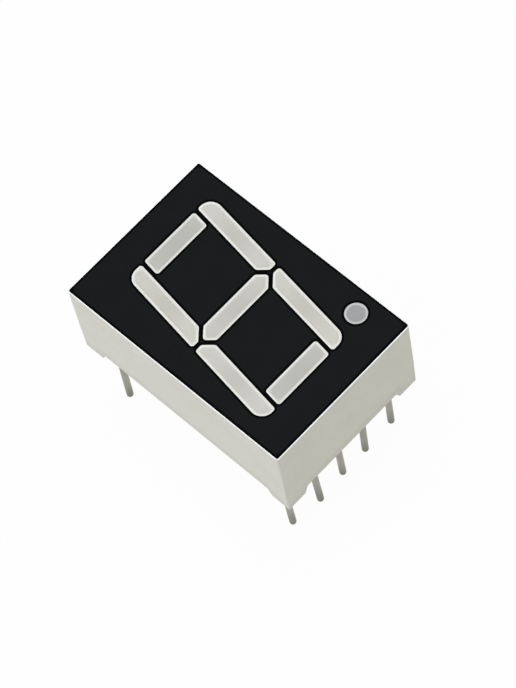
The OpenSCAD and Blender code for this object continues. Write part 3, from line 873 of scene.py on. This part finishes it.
class DISPLAY_OT_back(bpy.types.Operator):
    """Pours the epoxy that seals the back, creeping up the walls and the pins as it cured"""

    bl_idname = "display.make_back"
    bl_label = "Sealed back"

    def execute(self, context):
        look = context.scene.display_back
        low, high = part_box("back_potting")
        board_low, board_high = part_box("circuit_board")
        pins = [middle(n).xy for n in PINS]
        pin_low, pin_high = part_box(PINS[0])
        radius, around = (pin_high.x - pin_low.x) / 2, 24
        pick = random.Random(look.seed)
        # Bubbles keep clear of the walls, the pins and each other.
        from_wall, from_pin, apart = 1.2 * MM, 0.9 * MM, 0.8 * MM
        craters = []
        while len(craters) < look.bubbles:
            x = pick.uniform(low.x + from_wall, high.x - from_wall)
            y = pick.uniform(low.y + from_wall, high.y - from_wall)
            wide = pick.uniform(0.09, 0.2) * MM
            spot = Vector((x, y))
            clear = all((spot - p).length > from_pin for p in pins)
            if clear and all((spot - c).length > apart for c, _ in craters):
                craters.append((spot, wide))
        wall = along_loop(rounded_outline(low, high, 0.3 * MM), 0.5 * MM)
        holes = [ring(p, radius, around) for p in pins]
        # Points crowd where the resin climbs a wall or a pin and round each bubble, and lie evenly elsewhere.
        loose = echoes(wall, [], [depth * MM for depth in (0.05, 0.12, 0.22, 0.36, 0.55)], 0.4 * MM)
        for p in pins:
            for grow in (0.04, 0.1, 0.19, 0.32, 0.5):
                loose += ring(p, radius + grow * MM, around)
        for spot, wide in craters:
            loose.append(spot)
            for part in (0.35, 0.65, 0.85, 1.0, 1.2, 1.5):
                loose += ring(spot, wide * part, 16)
        step, shuffle = 0.42 * MM, 0.3
        for i in range(int((high.x - low.x) / step)):
            for j in range(int((high.y - low.y) / step)):
                x = low.x + (i + 0.5 + shuffle * pick.random()) * step
                y = low.y + (j + 0.5 + shuffle * pick.random()) * step
                spot = Vector((x, y))
                edge = min(spot.x - low.x, high.x - spot.x, spot.y - low.y, high.y - spot.y)
                clear = edge > 0.72 * MM and all((spot - p).length > radius + 0.7 * MM for p in pins)
                if clear and all((spot - c).length > 1.8 * w for c, w in craters):
                    loose.append(spot)

        def level(spot):
            """How low the resin stands at a spot: lower by a wall or a pin, and waved a little all over."""
            edge = from_loop(spot, wall)
            pin = max(0.0, min((spot - p).length for p in pins) - radius)
            z = low.z - look.climb * math.exp(-edge / look.reach)
            z -= 1.1 * look.climb * math.exp(-pin / (0.8 * look.reach))
            z += 0.012 * MM * noise.noise(Vector((spot.x, spot.y, 0)) / (2.2 * MM))
            # A bubble leaves a bowl, a little over half its radius deep, with a low lip round it.
            for c, w in craters:
                out = (spot - c).length / w
                if out < 1:
                    z += 0.55 * w * math.sqrt(1 - out * out)
                z -= 0.12 * w * math.exp(-(((out - 1.05) / 0.22) ** 2))
            return z

        # The resin stands round the board's edge, so its upper side has a pocket as large as the board.
        centre = (low.xy + high.xy) / 2
        across = (board_high.x - board_low.x) / (high.x - low.x)
        along = (board_high.y - board_low.y) / (high.y - low.y)
        board_edge = [centre + (p - centre) * Vector((across, along)) for p in wall]
        solid = bmesh.new()
        sheets = []
        for border, more, height in ((wall, loose, level), (board_edge, [], lambda spot: board_low.z)):
            spots, faces, went = filled(border, holes, more)
            verts = [solid.verts.new((p.x, p.y, height(p))) for p in spots]
            for face in faces:
                solid.faces.new([verts[i] for i in face])
            sheets.append([verts[i] for i in went])
        outside, pocket = sheets
        outer_top = [solid.verts.new((p.x, p.y, high.z)) for p in wall]
        inner_top = [solid.verts.new((p.x, p.y, high.z)) for p in board_edge]
        # Bands of faces join the outlines: up the wall, over its top, down to the board, and along each pin.
        count = len(wall)
        bands = [(outside[:count], outer_top), (outer_top, inner_top), (inner_top, pocket[:count])]
        for start in range(count, len(outside), around):
            bands.append((outside[start : start + around], pocket[start : start + around]))
        for first, second in bands:
            for i in range(len(first)):
                solid.faces.new((first[i - 1], first[i], second[i], second[i - 1]))
        finished_piece("sealed_back", solid, poured_epoxy(look), ["back_potting"], smooth_below=40)
        return {"FINISHED"}


class DISPLAY_OT_inside(bpy.types.Operator):
    """Finishes the board, its copper, the chips, their wires and the solder"""

    bl_idname = "display.finish_inside"
    bl_label = "Board and chips"

    def execute(self, context):
        look = context.scene.display_inside
        dress("circuit_board", glass_epoxy_board(look))
        # Rolled copper foil, etched: a warm metal dulled by the etch.
        dress("board_copper", worked_metal("copper_foil_etched", look.copper, 0.3, (1, 1, 1), (0.32, 0.5)))
        chip = sawn_chip(look)
        # Fine gold, drawn: bright, with a trace of draw lines.
        gold = worked_metal("gold_wire_drawn", look.gold, 0.05, (1, 1, 0.3), (0.15, 0.25))
        # Lead free solder, reflowed: pale, frosted where it froze.
        solder = worked_metal("tin_solder_reflowed", look.solder, 0.12, (1, 1, 1), (0.25, 0.45))
        for nodes, material in ((DIES, chip), (WIRES, gold), (SOLDERS, solder)):
            for node in nodes:
                dress(node, material)
        return {"FINISHED"}


def white_to_eye(tree, lit, share):
    """Mixes in white where the camera, a gloss or a clear surface looks, and leaves the rest to the lamps."""
    path = add_node(tree, "ShaderNodeLightPath").outputs
    seen = path["Is Camera Ray"]
    for ray in ("Is Glossy Ray", "Is Transmission Ray"):
        seen = add_node(tree, "ShaderNodeMath", {0: seen, 1: path[ray]}, operation="MAXIMUM").outputs[0]
    part = add_node(tree, "ShaderNodeMath", {0: seen, 1: share}, operation="MULTIPLY").outputs[0]
    white = add_node(tree, "ShaderNodeEmission", {"Color": (1, 1, 1, 1), "Strength": 1.0}).outputs[0]
    return add_node(tree, "ShaderNodeMixShader", {0: part, 1: lit, 2: white}).outputs[0]


def softbox(name, place, wide, watts, tint):
    """A round area lamp that faces the display."""
    lamp = bpy.data.lights.new(name, "AREA")
    lamp.shape = "DISK"
    lamp.size = wide
    lamp.energy = watts
    lamp.color = tint
    box = bpy.data.objects.new(name, lamp)
    box.location = place
    box.rotation_euler = (-Vector(place)).to_track_quat("-Z", "Y").to_euler()
    bpy.context.scene.collection.objects.link(box)


class DISPLAY_OT_stage(bpy.types.Operator):
    """Lays the pale floor and sets up the soft lamps and the camera"""

    bl_idname = "display.make_stage"
    bl_label = "Stage"

    def execute(self, context):
        look = context.scene.display_stage
        scene = context.scene
        floor = bpy.data.meshes.new("floor")
        bm = bmesh.new()
        bmesh.ops.create_circle(bm, cap_ends=True, cap_tris=False, segments=96, radius=0.9)
        bmesh.ops.translate(bm, verts=bm.verts, vec=(0, 0, CAD_BOX[0][2]))
        bm.to_mesh(floor)
        bm.free()
        # Matt painted board: plain and pale, bright to the eye, and it keeps a soft shadow.
        material, tree = new_material("white_board_painted")
        rubs = mottle(tree, 40)
        rubbed = add_node(tree, "ShaderNodeMix", {0: rubs, 6: look.floor, 7: look.scuff_and_foot_shade}, data_type="RGBA")
        paint = add_node(tree, "ShaderNodeBsdfPrincipled", {
            "Base Color": rubbed.outputs[2], "Roughness": 0.9, "Specular IOR Level": 0.1,
        })
        bright = white_to_eye(tree, paint.outputs["BSDF"], 0.97)
        add_node(tree, "ShaderNodeOutputMaterial", {"Surface": bright})
        floor.materials.append(material)
        floor_object = bpy.data.objects.new("floor", floor)
        scene.collection.objects.link(floor_object)

        world = bpy.data.worlds.new("studio")
        world.use_nodes = True
        tree = world.node_tree
        lit = tree.nodes["Background"]
        lit.inputs["Color"].default_value = (1, 1, 1, 1)
        lit.inputs["Strength"].default_value = look.ambient
        tree.links.new(white_to_eye(tree, lit.outputs[0], 1.0), tree.nodes["World Output"].inputs["Surface"])
        scene.world = world

        softbox("key_lamp", (-0.32, 0.10, 0.42), 0.36, look.key, (1.0, 1.0, 1.0))
        softbox("fill_lamp", (0.06, -0.42, 0.16), 0.34, look.fill, (1.0, 0.96, 0.5))
        softbox("top_lamp", (0.05, 0.05, 0.5), 0.4, look.top, (0.9, 0.95, 1.0))

        lens = bpy.data.cameras.new("camera")
        lens.sensor_width = 36
        lens.sensor_fit = "AUTO"
        lens.lens = 178.639535
        lens.clip_start = 0.01
        lens.clip_end = 10
        camera = bpy.data.objects.new("camera", lens)
        place = (-0.059336, -0.086296, 0.204218)
        bearing, down, roll = math.radians(-34.95), math.radians(62.584), math.radians(-13.363)
        camera.matrix_world = (
            Matrix.Translation(place)
            @ Matrix.Rotation(bearing, 4, "Z")
            @ Matrix.Rotation(math.pi / 2 - down, 4, "X")
            @ Matrix.Rotation(roll, 4, "Z")
        )
        scene.collection.objects.link(camera)
        scene.camera = camera
        scene.view_settings.view_transform = "Standard"
        return {"FINISHED"}


class DISPLAY_PT_panel(bpy.types.Panel):
    bl_label = "Seven segment display"
    bl_idname = "DISPLAY_PT_panel"
    bl_space_type = "VIEW_3D"
    bl_region_type = "UI"
    bl_category = "Display"

    def draw(self, context):
        for maker, holder, _ in MAKERS:
            box = self.layout.box()
            settings = getattr(context.scene, holder)
            for name in settings.bl_rna.properties.keys():
                if name not in ("rna_type", "name"):
                    box.prop(settings, name)
            box.operator(maker.bl_idname)


MAKERS = (
    (DISPLAY_OT_housing, "display_housing", HousingSettings),
    (DISPLAY_OT_face, "display_face", FaceSettings),
    (DISPLAY_OT_lights, "display_lights", LightSettings),
    (DISPLAY_OT_pins, "display_pins", PinSettings),
    (DISPLAY_OT_back, "display_back", BackSettings),
    (DISPLAY_OT_inside, "display_inside", InsideSettings),
    (DISPLAY_OT_stage, "display_stage", StageSettings),
)


def register():
    for maker, holder, settings in MAKERS:
        bpy.utils.register_class(settings)
        setattr(bpy.types.Scene, holder, bpy.props.PointerProperty(type=settings))
        bpy.utils.register_class(maker)
    bpy.utils.register_class(DISPLAY_PT_panel)


def unregister():
    bpy.utils.unregister_class(DISPLAY_PT_panel)
    for maker, holder, settings in MAKERS:
        bpy.utils.unregister_class(maker)
        delattr(bpy.types.Scene, holder)
        bpy.utils.unregister_class(settings)


def main():
    register()
    bpy.ops.display.make_housing()
    bpy.ops.display.make_face()
    bpy.ops.display.make_lights()
    bpy.ops.display.make_pins()
    bpy.ops.display.make_back()
    bpy.ops.display.finish_inside()
    bpy.ops.display.make_stage()


if __name__ == "__main__":
    main()
